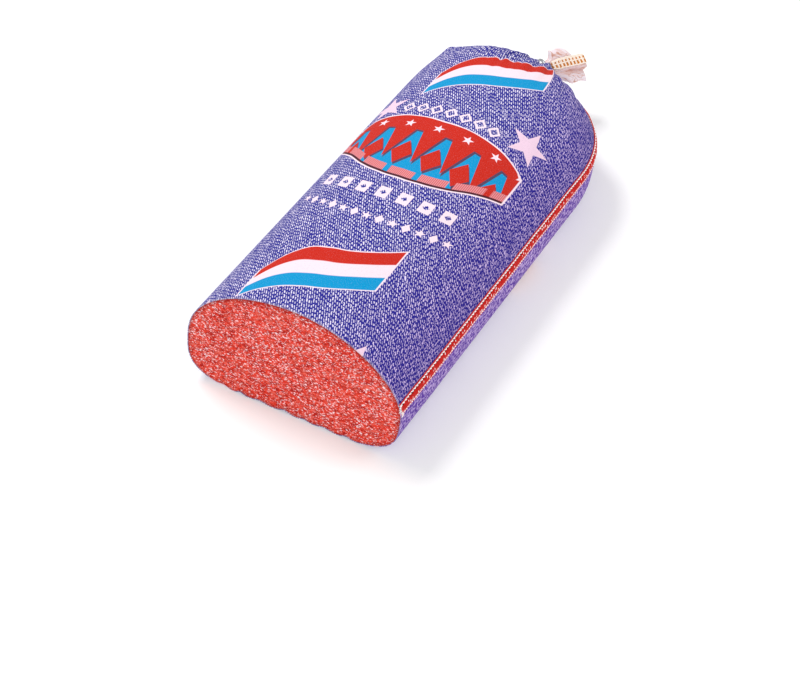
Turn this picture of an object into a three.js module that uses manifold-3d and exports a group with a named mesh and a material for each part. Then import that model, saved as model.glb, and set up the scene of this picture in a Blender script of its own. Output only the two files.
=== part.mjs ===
// A large dry sausage in a sewn textile casing, lying on its flat side. One end is cut off square, and at the
// other end the casing is gathered, clipped shut and left with a short tail.
// Millimetres, +Z up. The sausage lies along Y, with the cut face towards -Y and the seam on the +X side.
import * as THREE from "three";
import { LoftGeometry } from "three/addons/geometries/LoftGeometry.js";
import { mergeVertices } from "three/addons/utils/BufferGeometryUtils.js";
import Module from "manifold-3d";

const wasm = await Module();
wasm.setup();

// ---- Driving dimensions ----
const BODY_WIDTH = 152.5;
const BODY_HEIGHT = 86.5;
const BODY_LENGTH = 328.5; // from the cut to the back, leaving out the gathers that rise towards the neck
const WAIST_HEIGHT = 35; // where the section is widest
const SHOULDER_LENGTH = 78; // the back end rounds off over this length
const CASING_THICKNESS = 0.8;
const FIT_GAP = 0.3; // clearance between neighbouring solids

// The section is four quarters of a superellipse, slimmer at the seam side and nearly square underneath.
const SECTION_POWER = { seamTop: 1.8, foldTop: 2.1, under: 3.8 };
const SECTION_LEAN = 0.03; // the section leans this much towards the seam side for each millimetre of height
const FLATTENED_BY = 1.2; // the underside is pressed flat by this much, which leaves a flat strip to rest on

// The knife went in a little slanted.
const CUT_LEAN = THREE.MathUtils.degToRad(4); // top edge further back than the bottom edge
const CUT_TURN = THREE.MathUtils.degToRad(1.7); // seam side further back than the fold side

// The back end is square at the folded side, where the sheet makes a corner, and round at the seam side.
const BACK_POWER = { fold: 4, top: 2.6, under: 1.95, seam: 2.33 };

// The gathers pull the casing up into a low funnel, which ends at the neck.
const GATHER_HEIGHT = 12.5;
const GATHER_SPREAD = 9;

const NECK = new THREE.Vector3(-3, BODY_LENGTH + GATHER_HEIGHT, 45); // where the casing leaves the body
const NECK_RADIUS = 6.5;
const NECK_LENGTH = 9;
const TAIL_LENGTH = 32;
const TAIL_LEAN = THREE.MathUtils.degToRad(31); // the tail points towards the seam side
const TAIL_SAG = 8; // its end hangs this much lower than the neck
const TAIL_END = { width: 27, height: 25 };

const SEAM_HEIGHT = 42.5; // height of the seam's middle on the side of the body
const SEAM_WIDTH = 5.2;
const SEAM_THICKNESS = 1.4;
const THREAD_DIAMETER = 0.9;
const TAIL_SEAM = { width: 7.5, thickness: 2.4 };
const TAIL_SEAM_ROUND = THREE.MathUtils.degToRad(60); // place round the tail, from the seam side upwards

const CLIP_WIRE = 2.4;
const CLIP_CLEARANCE = 0.5;
const CLIP_TURNS = 1.2;
const CLIP_PITCH = 3; // the overlapping wire ends lie this far apart along the neck
const CLIP_ALONG = 6; // how far along the neck the clip sits

const AROUND = 64; // points round each ring of the casing
const DOME_RINGS = 20;

const CUT_ALLOWANCE = 10; // a cutting solid runs this far past the face it opens
const CLOSED = { capStart: true, capEnd: true };
const TURN = Math.PI * 2;

// ---- The sausage's outer surface ----

const signedPower = (value, power) => Math.sign(value) * Math.abs(value) ** power;

// The cross-section of the body, as evenly spaced points, anticlockwise seen from the back end.
function bodyOutline() {
  const samples = 720;
  const points = [];
  for (let i = 0; i < samples; i++) {
    const angle = (i / samples) * TURN;
    const across = Math.cos(angle);
    const up = Math.sin(angle);
    const topPower = across >= 0 ? SECTION_POWER.seamTop : SECTION_POWER.foldTop;
    const power = up >= 0 ? topPower : SECTION_POWER.under;
    const reach = up >= 0 ? BODY_HEIGHT - WAIST_HEIGHT : WAIST_HEIGHT + FLATTENED_BY;
    const z = WAIST_HEIGHT + reach * signedPower(up, 2 / power);
    const x = (BODY_WIDTH / 2) * signedPower(across, 2 / power) + SECTION_LEAN * (z - WAIST_HEIGHT);
    points.push(new THREE.Vector3(x, 0, z));
  }
  const outline = new THREE.CatmullRomCurve3(points, true);
  return outline.getSpacedPoints(AROUND).slice(0, AROUND).reverse();
}

const OUTLINE = bodyOutline();

const cutPlaneY = (x, z) => Math.tan(CUT_TURN) * x + Math.tan(CUT_LEAN) * (z - BODY_HEIGHT / 2);

// The underside is flat where the round shape would reach below the surface that the sausage lies on.
const flattened = (point) => new THREE.Vector3(point.x, point.y, Math.max(point.z, 0));

const bodyRing = (y) => OUTLINE.map((p) => flattened(new THREE.Vector3(p.x, y, p.z)));

const cutRing = () => OUTLINE.map((p) => new THREE.Vector3(p.x, cutPlaneY(p.x, Math.max(p.z, 0)), Math.max(p.z, 0)));

// How square the back end is in one direction from the neck.
function backPower(across, up) {
  const side = across > 0 ? BACK_POWER.seam : BACK_POWER.fold;
  const middle = up > 0 ? BACK_POWER.top : BACK_POWER.under;
  return middle + (side - middle) * across * across;
}

// The point at `progress` (0 at the shoulder, 1 at the neck) on the way from one outline point to the neck.
function domePoint(p, progress) {
  const dx = p.x - NECK.x;
  const dz = p.z - NECK.z;
  const radius = Math.hypot(dx, dz);
  const angle = (progress * Math.PI) / 2;
  const power = 2 / backPower(dx / radius, dz);
  const inwards = NECK_RADIUS + (radius - NECK_RADIUS) * Math.cos(angle) ** power;
  const gathered = GATHER_HEIGHT * Math.exp((NECK_RADIUS - inwards) / GATHER_SPREAD);
  const back = BODY_LENGTH - SHOULDER_LENGTH + SHOULDER_LENGTH * Math.sin(angle) ** power + gathered;
  return new THREE.Vector3(NECK.x + (dx / radius) * inwards, back, NECK.z + (dz / radius) * inwards);
}

const domeRing = (progress) => OUTLINE.map((p) => flattened(domePoint(p, progress)));

const TAIL_AXIS = new THREE.Vector3(Math.sin(TAIL_LEAN), Math.cos(TAIL_LEAN), 0);
const TAIL_SIDE = new THREE.Vector3(Math.cos(TAIL_LEAN), -Math.sin(TAIL_LEAN), 0);
const UP = new THREE.Vector3(0, 0, 1);

// How far the gathered cloth has spread out (0 in the neck, 1 at its widest) at some distances along it.
const TAIL_STATIONS = [
  { along: 1.5, spread: 0 },
  { along: NECK_LENGTH, spread: 0 },
  { along: NECK_LENGTH + TAIL_LENGTH * 0.35, spread: 0.35 },
  { along: NECK_LENGTH + TAIL_LENGTH * 0.9, spread: 1 },
  { along: NECK_LENGTH + TAIL_LENGTH, spread: 0.7 },
];

// A point on the neck or the tail, at an angle that is measured from the seam side upwards.
function tailPoint({ along, spread }, angle) {
  const halfWidth = THREE.MathUtils.lerp(NECK_RADIUS, TAIL_END.width / 2, spread);
  const halfHeight = THREE.MathUtils.lerp(NECK_RADIUS, TAIL_END.height / 2, spread);
  const sag = (TAIL_SAG * Math.max(along - NECK_LENGTH, 0)) / TAIL_LENGTH;
  return NECK.clone()
    .addScaledVector(TAIL_AXIS, along)
    .addScaledVector(TAIL_SIDE, halfWidth * Math.cos(angle))
    .addScaledVector(UP, halfHeight * Math.sin(angle) - sag);
}

const tailRing = (station) => OUTLINE.map((p) => tailPoint(station, Math.atan2(p.z - NECK.z, p.x - NECK.x)));

function bodyRings() {
  const straightEnd = BODY_LENGTH - SHOULDER_LENGTH;
  const straightSteps = 5;
  const rings = [cutRing()];
  for (let i = 1; i <= straightSteps; i++) rings.push(bodyRing((straightEnd * i) / straightSteps));
  for (let i = 1; i <= DOME_RINGS; i++) rings.push(domeRing(i / DOME_RINGS));
  return rings;
}

// Moves rings inwards, square to the surface. The first ring stays on the cut plane, and the last is flat.
function insetRings(rings, depth) {
  const lastRing = rings.length - 1;
  return rings.map((ring, i) => {
    const before = rings[Math.max(i - 1, 0)];
    const after = rings[Math.min(i + 1, lastRing)];
    return ring.map((point, j) => {
      const along = after[j].clone().sub(before[j]);
      const round = ring[(j + 1) % AROUND].clone().sub(ring[(j + AROUND - 1) % AROUND]);
      const outwards = round.cross(along).normalize();
      const moved = point.clone().addScaledVector(outwards, -depth);
      if (i === 0) moved.y = cutPlaneY(moved.x, moved.z);
      if (i === lastRing) moved.y = NECK.y - depth;
      return moved;
    });
  });
}

// ---- Materials ----

const material = (color, roughness, metalness = 0) =>
  new THREE.MeshStandardMaterial({ color, roughness, metalness });

const MEAT = material(0xc4413a, 0.5);
const PRINTED_CLOTH = material(0x4f50ae, 0.85);
const RED_THREAD = material(0xc42a20, 0.7);
const WHITE_THREAD = material(0xf3ece6, 0.7);
const PLAIN_CLOTH = material(0xf0dcdc, 0.85);
const ALUMINIUM = material(0xb9babd, 0.35, 0.9);

function namedMesh(name, geometry, finish) {
  const mesh = new THREE.Mesh(geometry, finish);
  mesh.name = name;
  return mesh;
}

// ---- Cutting one solid from another ----

function toSolid(geometry) {
  const bare = new THREE.BufferGeometry().copy(geometry);
  bare.deleteAttribute("normal");
  bare.deleteAttribute("uv");
  const merged = mergeVertices(bare);
  return new wasm.Manifold(
    new wasm.Mesh({
      numProp: 3,
      vertProperties: merged.attributes.position.array,
      triVerts: new Uint32Array(merged.index.array),
    }),
  );
}

function toGeometry(solid) {
  const { vertProperties, triVerts } = solid.getMesh();
  const geometry = new THREE.BufferGeometry();
  geometry.setAttribute("position", new THREE.BufferAttribute(vertProperties, 3));
  geometry.setIndex(new THREE.BufferAttribute(triVerts, 1));
  geometry.computeVertexNormals();
  return geometry;
}

// ---- Pieces ----

function makeMeat(rings) {
  const inside = insetRings(rings, CASING_THICKNESS + FIT_GAP);
  return namedMesh("meat", new LoftGeometry(inside, CLOSED), MEAT);
}

// One sheet with its tail: the outer shape, hollowed from the cut to just short of the neck.
function makeCasing(rings) {
  const outer = new LoftGeometry([...rings, ...TAIL_STATIONS.map(tailRing)], CLOSED);
  const inside = insetRings(rings, CASING_THICKNESS);
  const pastTheCut = inside[0].map((p) => new THREE.Vector3(p.x, p.y - CUT_ALLOWANCE, p.z));
  const hollow = new LoftGeometry([pastTheCut, ...inside], CLOSED);
  return namedMesh("casing", toGeometry(toSolid(outer).subtract(toSolid(hollow))), PRINTED_CLOTH);
}

// The line on the casing that the middle of the seam follows, with the surface's outward direction there.
function seamLine() {
  const onSeamSide = OUTLINE.filter((p) => p.x > 0);
  const height = (p) => Math.abs(p.z - SEAM_HEIGHT);
  const start = onSeamSide.reduce((best, p) => (height(p) < height(best) ? p : best));
  const index = OUTLINE.indexOf(start);
  const next = OUTLINE[(index + 1) % AROUND];
  const place = new THREE.Vector3().lerpVectors(start, next, (SEAM_HEIGHT - start.z) / (next.z - start.z));
  const round = next.clone().sub(start).normalize();
  const straightEnd = BODY_LENGTH - SHOULDER_LENGTH;
  const points = [new THREE.Vector3(place.x, cutPlaneY(place.x, place.z), place.z)];
  const straightSteps = 8;
  for (let i = 1; i <= straightSteps; i++) {
    points.push(new THREE.Vector3(place.x, (straightEnd * i) / straightSteps, place.z));
  }
  const domeSteps = 16;
  const stopShort = 0.86; // the seam ends just before the gathers of the neck
  for (let i = 1; i <= domeSteps; i++) points.push(domePoint(place, (stopShort * i) / domeSteps));
  return { points, round };
}

// A strip with rounded edges that lies on the casing along the seam, `shift` to one side of its middle.
function seamStrip({ points, round }, width, thickness, shift) {
  const corners = 10;
  return points.map((point, i) => {
    const before = points[Math.max(i - 1, 0)];
    const after = points[Math.min(i + 1, points.length - 1)];
    const along = after.clone().sub(before).normalize();
    const outwards = round.clone().cross(along).normalize();
    const across = outwards.clone().cross(along).normalize();
    const centre = point
      .clone()
      .addScaledVector(outwards, FIT_GAP + thickness / 2)
      .addScaledVector(across, shift);
    return Array.from({ length: corners }, (_, k) => {
      const angle = (k / corners) * TURN;
      return centre
        .clone()
        .addScaledVector(across, (width / 2) * signedPower(Math.cos(angle), 0.6))
        .addScaledVector(outwards, (thickness / 2) * Math.sin(angle));
    });
  });
}

function makeSeam() {
  const line = seamLine();
  const threadShift = (SEAM_WIDTH + THREAD_DIAMETER) / 2 + FIT_GAP;
  const strip = (name, width, thickness, shift, finish) =>
    namedMesh(name, new LoftGeometry(seamStrip(line, width, thickness, shift), CLOSED), finish);
  return [
    strip("seam_overlock", SEAM_WIDTH, SEAM_THICKNESS, 0, RED_THREAD),
    strip("seam_needle_thread", THREAD_DIAMETER, THREAD_DIAMETER, threadShift, WHITE_THREAD),
    strip("seam_edge_thread", THREAD_DIAMETER, THREAD_DIAMETER, -threadShift, WHITE_THREAD),
  ];
}

// A soft wire bent round the neck, with its ends lying side by side.
function makeClip() {
  const radius = NECK_RADIUS + CLIP_CLEARANCE + CLIP_WIRE / 2;
  const steps = 20;
  const bend = Array.from({ length: steps + 1 }, (_, i) => {
    const angle = (CLIP_TURNS * TURN * i) / steps;
    const y = CLIP_ALONG + CLIP_PITCH * (i / steps - 0.5) * CLIP_TURNS;
    return new THREE.Vector3(radius * Math.cos(angle), y, radius * Math.sin(angle));
  });
  const wire = new THREE.Shape().absarc(0, 0, CLIP_WIRE / 2, 0, TURN);
  const geometry = new THREE.ExtrudeGeometry(wire, {
    steps: 48,
    curveSegments: 6,
    extrudePath: new THREE.CatmullRomCurve3(bend),
  });
  const clip = namedMesh("closing_clip", geometry, ALUMINIUM);
  clip.position.copy(NECK);
  clip.rotation.z = -TAIL_LEAN;
  return clip;
}

// The seam's last stretch lies along the tail, from just past the clip.
function makeTailSeam() {
  const [, neckEnd, ...spreading] = TAIL_STATIONS;
  const stations = [{ ...neckEnd, along: neckEnd.along + 1 }, ...spreading.slice(0, 2)];
  const points = stations.map((station) => tailPoint(station, TAIL_SEAM_ROUND));
  const round = TAIL_SIDE.clone()
    .multiplyScalar(Math.sin(TAIL_SEAM_ROUND))
    .addScaledVector(UP, -Math.cos(TAIL_SEAM_ROUND));
  const strip = seamStrip({ points, round }, TAIL_SEAM.width, TAIL_SEAM.thickness, 0);
  return namedMesh("tail_seam", new LoftGeometry(strip, CLOSED), PLAIN_CLOTH);
}

// ---- Assembly ----

const rings = bodyRings();
const sausage = new THREE.Group();
sausage.add(makeMeat(rings), makeCasing(rings), ...makeSeam(), makeClip(), makeTailSeam());

// The origin is at the middle of the outer box, on the surface that the sausage rests on.
const middle = new THREE.Box3().setFromObject(sausage, true).getCenter(new THREE.Vector3());
sausage.children.forEach((piece) => piece.position.sub(new THREE.Vector3(middle.x, middle.y, 0)));

export default sausage;
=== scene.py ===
"""A large cured sausage in a printed, sewn textile casing, lying on its flat side on a pale floor.

Lengths in the tables below are in millimetres, in the part's own frame: x = 0 at the middle of the section,
y = 0 where the knife cut through, z = 0 on the floor. Each mesh turns them into metres in the row frame.
"""

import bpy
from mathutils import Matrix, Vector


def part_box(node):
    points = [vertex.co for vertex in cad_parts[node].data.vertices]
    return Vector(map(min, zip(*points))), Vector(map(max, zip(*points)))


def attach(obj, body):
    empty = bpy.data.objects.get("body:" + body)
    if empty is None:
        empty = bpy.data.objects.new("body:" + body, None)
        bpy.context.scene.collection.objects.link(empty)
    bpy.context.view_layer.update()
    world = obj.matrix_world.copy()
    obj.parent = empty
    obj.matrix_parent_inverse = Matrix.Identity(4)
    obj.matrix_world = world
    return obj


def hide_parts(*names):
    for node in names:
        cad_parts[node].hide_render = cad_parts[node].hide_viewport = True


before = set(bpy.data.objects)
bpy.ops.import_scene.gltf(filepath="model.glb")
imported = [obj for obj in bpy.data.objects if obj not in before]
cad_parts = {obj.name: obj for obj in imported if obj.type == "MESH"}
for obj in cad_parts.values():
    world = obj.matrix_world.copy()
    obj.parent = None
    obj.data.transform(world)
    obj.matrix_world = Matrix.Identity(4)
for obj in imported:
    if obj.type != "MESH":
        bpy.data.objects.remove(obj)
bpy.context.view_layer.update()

import math

import bpy
import numpy as np
from mathutils import Matrix, Vector

MM = 0.001
TURN = 2 * math.pi

# ---- The sausage's shape, as in the CAD ----
BODY_WIDTH = 152.5
BODY_HEIGHT = 86.5
BODY_LENGTH = 328.5
WAIST_HEIGHT = 35.0
SHOULDER_LENGTH = 78.0
STRAIGHT_LENGTH = BODY_LENGTH - SHOULDER_LENGTH
CAD_MEAT_INSET = 1.1
POWER_SEAM_TOP = 1.8
POWER_FOLD_TOP = 2.1
POWER_UNDER = 3.8
SECTION_LEAN = 0.03
FLATTENED_BY = 1.2
CUT_LEAN = math.radians(4)
CUT_TURN = math.radians(1.7)
BACK_POWER_FOLD = 4.0
BACK_POWER_TOP = 2.6
BACK_POWER_UNDER = 1.95
BACK_POWER_SEAM = 2.33
GATHER_HEIGHT = 12.5
GATHER_SPREAD = 9.0
NECK = np.array([-3.0, BODY_LENGTH + GATHER_HEIGHT, 45.0])
NECK_RADIUS = 6.5
NECK_LENGTH = 9.0
TAIL_LENGTH = 32.0
TAIL_LEAN = math.radians(31)
TAIL_SAG = 8.0
CLIP_ALONG = 6.0
CLIP_CLEARANCE = 0.5
CLIP_CAD_RADIUS = 1.2
CLIP_SHOWN_RADIUS = 0.95  # the wire looks thinner than the CAD's
CLIP_TURNS = 1.2
CLIP_PITCH = 3.0
SEAM_HEIGHT = 42.5
SEAM_WIDTH = 5.2

CLOTH_THICKNESS = 0.5
PANEL_WIDTH = 198.0  # the print has two equal panels side by side round the sheet
PANEL_MIDDLE = -8.5  # where the middle of the upper panel lies, measured round the sheet from the top
PRINT_REPEAT = 234.0  # the print repeats at this distance along the sheet


def row_frame_shift():
    """How far the row frame's origin lies from the part's own, in millimetres."""
    low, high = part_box("casing")
    meat_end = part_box("meat")[1].y / MM
    middle_x = -(low.x + high.x) / 2 / MM
    middle_y = NECK[1] - CAD_MEAT_INSET - meat_end
    return np.array([middle_x, middle_y, 0.0])


SHIFT = row_frame_shift()


def to_row_frame(points):
    """Points in millimetres in the part's own frame, as metres in the row frame."""
    return (np.asarray(points, float) - SHIFT) * MM


# ---- The outline of the section ----


def signed_power(value, power):
    return np.sign(value) * np.abs(value) ** power


def section_curve(samples=4000):
    """The section as (x, z) points, starting at the bottom middle and going round by the fold side."""
    angle = -math.pi / 2 - np.linspace(0, TURN, samples, endpoint=False)
    across, up = np.cos(angle), np.sin(angle)
    power = np.where(up >= 0, np.where(across >= 0, POWER_SEAM_TOP, POWER_FOLD_TOP), POWER_UNDER)
    reach = np.where(up >= 0, BODY_HEIGHT - WAIST_HEIGHT, WAIST_HEIGHT + FLATTENED_BY)
    z = WAIST_HEIGHT + reach * signed_power(up, 2 / power)
    x = BODY_WIDTH / 2 * signed_power(across, 2 / power) + SECTION_LEAN * (z - WAIST_HEIGHT)
    return np.column_stack([x, np.maximum(z, 0)])


SECTION = section_curve()
SECTION_STEP = np.linalg.norm(np.roll(SECTION, -1, axis=0) - SECTION, axis=1)
SECTION_ARC = np.concatenate([[0], np.cumsum(SECTION_STEP)])
GIRTH = SECTION_ARC[-1]
TOP_ARC = SECTION_ARC[np.argmax(SECTION[:, 1] - 10 * np.abs(SECTION[:, 0]))]


def section_at(u):
    """(x, z) at a distance u round the sheet from the top, positive towards the seam."""
    arc = np.mod(np.asarray(u, float) + TOP_ARC, GIRTH)
    ring = np.vstack([SECTION, SECTION[:1]])
    return np.interp(arc, SECTION_ARC, ring[:, 0]), np.interp(arc, SECTION_ARC, ring[:, 1])


def seam_place():
    """How far round the sheet from the top the middle of the seam lies."""
    u = np.linspace(40, 130, 1801)
    x, z = section_at(u)
    return float(u[np.argmin(np.abs(z - SEAM_HEIGHT))])


SEAM_U = seam_place()


def cut_plane_y(x, z):
    return math.tan(CUT_TURN) * x + math.tan(CUT_LEAN) * (z - BODY_HEIGHT / 2)


# ---- Smooth noise without any random state ----


def wander(t, seed, waves=5, slowest=1.0):
    """A smooth irregular function of t between about -1 and 1, the same on each run."""
    chance = np.random.RandomState(seed)
    total = np.zeros_like(np.asarray(t, float))
    weight = 0.0
    for k in range(waves):
        rate = slowest * (1.0 + 0.83 * k) * chance.uniform(0.85, 1.15)
        strength = 1 / (1 + 0.6 * k)
        total = total + strength * np.sin(rate * t + chance.uniform(0, TURN))
        weight += strength
    return total / weight * 1.6


def smoothstep(low, high, value):
    t = np.clip((value - low) / (high - low), 0, 1)
    return t * t * (3 - 2 * t)


# ---- Grooves pressed into the underside ----
# Each is (x, half width, depth): lengthwise creases where the sausage hung or lay on rods.
GROOVES = [
    (-50, 3.5, 1.6),
    (-37, 3.0, 1.9),
    (-22, 4.5, 1.5),
    (-4, 4.0, 2.2),
    (9, 3.0, 1.6),
    (24, 5.0, 1.7),
    (41, 4.0, 2.0),
]


def groove_depth(x, y):
    """How far the underside is pushed up at (x, y)."""
    depth = np.zeros(np.broadcast(x, y).shape)
    for number, (middle, half_width, deepest) in enumerate(GROOVES):
        centre = middle + 1.6 * wander(y / 45, 40 + number)
        depth_here = deepest * (0.75 + 0.25 * wander(y / 30, 60 + number))
        depth = np.maximum(depth, depth_here * np.exp(-(((x - centre) / half_width) ** 2)))
    return depth


# ---- The casing as one sheet ----
COLUMNS = 320
ROW_STEP = 1.5
DOME_ROWS = 84


def dome_column(x, z, rows):
    """Points from the shoulder to the neck above the section point (x, z), evenly spaced."""
    dx, dz = x - NECK[0], z - NECK[2]
    radius = math.hypot(dx, dz)
    across = dx / radius
    side = BACK_POWER_SEAM if across > 0 else BACK_POWER_FOLD
    middle = BACK_POWER_TOP if dz > 0 else BACK_POWER_UNDER
    power = 2 / (middle + (side - middle) * across * across)
    fine = np.linspace(0, math.pi / 2, 700)
    inwards = NECK_RADIUS + (radius - NECK_RADIUS) * np.cos(fine) ** power
    gathered = GATHER_HEIGHT * np.exp((NECK_RADIUS - inwards) / GATHER_SPREAD)
    back = STRAIGHT_LENGTH + SHOULDER_LENGTH * np.sin(fine) ** power + gathered
    run = np.concatenate([[0], np.cumsum(np.hypot(np.diff(inwards), np.diff(back)))])
    want = np.linspace(0, run[-1], rows)
    inwards, back = np.interp(want, run, inwards), np.interp(want, run, back)
    return np.column_stack([NECK[0] + across * inwards, back, NECK[2] + dz / radius * inwards])


def grid_normals(grid):
    """Outward normals of a grid of points[row, column, xyz] that closes round its columns."""
    along = np.gradient(grid, axis=0)
    round_it = np.roll(grid, -1, axis=1) - np.roll(grid, 1, axis=1)
    normal = np.cross(round_it, along)
    normal /= np.maximum(np.linalg.norm(normal, axis=2, keepdims=True), 1e-9)
    return normal


def neck_angle(grid):
    return np.arctan2(grid[..., 2] - NECK[2], grid[..., 0] - NECK[0])


def pleats(angle):
    """The gathered folds round the neck, from -1 in a sharp valley to 1 on a round ridge."""
    uneven = angle + 0.10 * np.sin(3 * angle + 1.0) + 0.06 * np.sin(5 * angle + 2.2)
    main = 2 * np.abs(np.sin(10.5 * uneven)) ** 0.8 - 1
    minor = 2 * np.abs(np.sin(16 * uneven + 0.6 * np.sin(2 * angle))) - 1
    share = 0.45 + 0.2 * np.sin(2 * angle + 0.7)
    return main * (1 - share) + minor * share


def body_grid():
    """Rows from the cut to the neck, columns round the sheet from the seam back to the seam."""
    places = SEAM_U - GIRTH + GIRTH * np.arange(COLUMNS) / COLUMNS
    xs, zs = section_at(places)
    straight_rows = int(STRAIGHT_LENGTH / ROW_STEP)
    share = np.linspace(0, 1, straight_rows + 1)[:, None]
    start = cut_plane_y(xs, zs)[None, :]
    ys = start + (STRAIGHT_LENGTH - start) * share
    straight = np.stack([np.broadcast_to(xs, ys.shape), ys, np.broadcast_to(zs, ys.shape)], axis=2)
    domes = [dome_column(x, z, DOME_ROWS + 1)[1:] for x, z in zip(xs, zs)]
    dome = np.stack(domes, axis=1)
    grid = np.concatenate([straight, dome], axis=0)
    steps = np.linalg.norm(np.diff(grid, axis=0), axis=2)
    along = np.concatenate([np.zeros((1, COLUMNS)), np.cumsum(steps, axis=0)]) + start
    return grid, places, along


# Places where the gathered sheet stands up in a point: (x, y, z), height, spread.
SWELLS = [
    ((-60.0, 312.0, 63.0), 5.4, 6.0),  # the pillow corner
    ((13.5, 322.0, 69.0), 4.2, 3.4),
    ((25.0, 310.0, 66.0), 2.2, 3.0),
]


def shape_body(grid):
    """Adds the gathers, the creases of the underside and the unevenness of packed meat."""
    normal = grid_normals(grid)
    x, y, z = grid[..., 0], grid[..., 1], grid[..., 2]
    from_neck = np.hypot(x - NECK[0], z - NECK[2])
    past_shoulder = smoothstep(STRAIGHT_LENGTH + 22, BODY_LENGTH - 14, y)
    angle = neck_angle(grid)
    gather = past_shoulder * (1 - smoothstep(8, 46, from_neck))
    height = 1.6 * (1 - smoothstep(12, 48, from_neck)) + 1.6 * (1 - smoothstep(32, 74, from_neck))
    height = height * past_shoulder * (0.2 + 0.8 * smoothstep(NECK_RADIUS, 12, from_neck))
    height = height * (0.8 + 0.35 * np.sin(4 * angle + 1.3))
    fold = height * (pleats(angle + 0.05 * wander(from_neck / 9, 3)) - 0.35)
    for place, raised, spread in SWELLS:
        away = np.linalg.norm(grid - np.array(place), axis=2)
        fold = fold + raised * np.exp(-np.hypot(away, 1.2) / spread)
    lumps = 0.35 * wander(y / 33 + 2.1 * wander(x / 30, 4), 5) * wander(x / 24 + z / 31, 6)
    lumps = lumps * smoothstep(0, 12, y) * (1 - gather)
    moved = grid + normal * (fold + np.minimum(lumps, 0.2))[..., None]
    underside = (1 - smoothstep(3, 14, z)) * (1 - smoothstep(STRAIGHT_LENGTH - 10, BODY_LENGTH - 30, y))
    moved[..., 2] += groove_depth(x, y) * underside
    moved[..., 2] = np.maximum(moved[..., 2], 0)
    return moved


TAIL_AXIS = np.array([math.sin(TAIL_LEAN), math.cos(TAIL_LEAN), 0.0])
TAIL_SIDE = np.array([math.cos(TAIL_LEAN), -math.sin(TAIL_LEAN), 0.0])
UP = np.array([0.0, 0.0, 1.0])
TAIL_ROWS = 60
# The loose folds at the tail's end: (degrees from the seam side upwards, distance from the axis, how far the
# fold stops short of the tail's full length, and the share of that length over which it opens).
TAIL_FOLDS = [
    (-172, 10.5, 9.0, 0.5),
    (-150, 5.0, 9.0, 0.6),
    (-128, 11.0, 6.0, 0.5),
    (-104, 5.0, 5.0, 0.6),
    (-82, 11.5, 3.0, 0.5),
    (-58, 5.0, 1.5, 0.6),
    (-24, 13.0, 4.0, 0.6),
    (8, 4.8, 4.0, 0.6),
    (36, 7.2, 0.5, 0.7),
    (66, 7.4, 1.0, 0.7),
    (90, 5.2, 5.0, 0.6),
    (116, 15.0, 14.0, 0.36),
    (150, 5.5, 11.0, 0.5),
]


def tail_sag(along):
    return TAIL_SAG * np.maximum(along - NECK_LENGTH, 0) / TAIL_LENGTH


def tail_grid(angle, radius_at_body):
    """The neck, squeezed by the clip, and the short tail of loose folds, with how hollow each place is, for
    the painted shade in the valleys.
    """
    folds = np.array(TAIL_FOLDS + TAIL_FOLDS[:1])
    folds[-1, 0] += 360
    fold_angle = np.radians(folds[:, 0])
    rows, hollows = [], []
    for i in range(1, TAIL_ROWS + 1):
        share = i / TAIL_ROWS
        level = (NECK_LENGTH + TAIL_LENGTH) * share
        opened = smoothstep(NECK_LENGTH * 0.9, NECK_LENGTH + TAIL_LENGTH * 0.6, level)
        turned = angle + 0.10 * opened * math.sin(level / 9)
        turned = np.mod(turned - fold_angle[0], TURN) + fold_angle[0]
        fold_here, short_here, reach_here = (np.interp(turned, fold_angle, folds[:, k]) for k in (1, 2, 3))
        opening = smoothstep(NECK_LENGTH * 0.9, NECK_LENGTH + TAIL_LENGTH * reach_here, level)
        squeeze = 1 - 0.10 * math.exp(-(((level - CLIP_ALONG) / 2.6) ** 2))
        neck = (NECK_RADIUS - 0.55) * squeeze + 0.5 * (1 - opened) * pleats(angle)
        spread = neck + (fold_here - neck) * opening
        creases = np.abs(np.mod(level / 21.0 + 0.5 * np.sin(turned), 1.0) - 0.5) * 4 - 1
        under_strip = np.exp(-(((np.degrees(turned) - 66) / 26) ** 2))
        spread = spread + 1.1 * opening * creases * (1 - under_strip)
        hollows.append(opening * (1 - smoothstep(5.4, 9.5, fold_here)))
        blend = smoothstep(0, 2.5, level)
        spread = blend * spread + (1 - blend) * radius_at_body
        reach = level - short_here * opening * share
        reach = np.minimum(reach, NECK_LENGTH + TAIL_LENGTH - 0.4)
        centre = NECK + np.outer(reach, TAIL_AXIS) - np.outer(tail_sag(reach), UP)
        sideways = np.outer(spread * np.cos(turned), TAIL_SIDE)
        rows.append(centre + sideways + np.outer(spread * np.sin(turned), UP))
    return np.stack(rows), np.stack(hollows)


def ring_faces(rows, columns):
    """Quads that join each ring of points to the next. The points are numbered ring by ring."""
    row, column = np.meshgrid(np.arange(rows - 1), np.arange(columns), indexing="ij")
    after = (column + 1) % columns
    first, second = row * columns, (row + 1) * columns
    quads = np.stack([first + column, first + after, second + after, second + column], axis=-1)
    return quads.reshape(-1, 4).tolist()


def closed_faces(rows, columns):
    """The quads of ring_faces, with a face over the first ring and one over the last."""
    last = (rows - 1) * columns
    ends = [tuple(reversed(range(columns))), tuple(last + k for k in range(columns))]
    return ring_faces(rows, columns) + ends


def closed_mesh(name, rings):
    """A closed solid from rings[ring, point, xyz] in the part's frame."""
    mesh = bpy.data.meshes.new(name)
    mesh.from_pydata(to_row_frame(rings.reshape(-1, 3)).tolist(), [], closed_faces(*rings.shape[:2]))
    mesh.shade_smooth()
    return mesh


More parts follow.
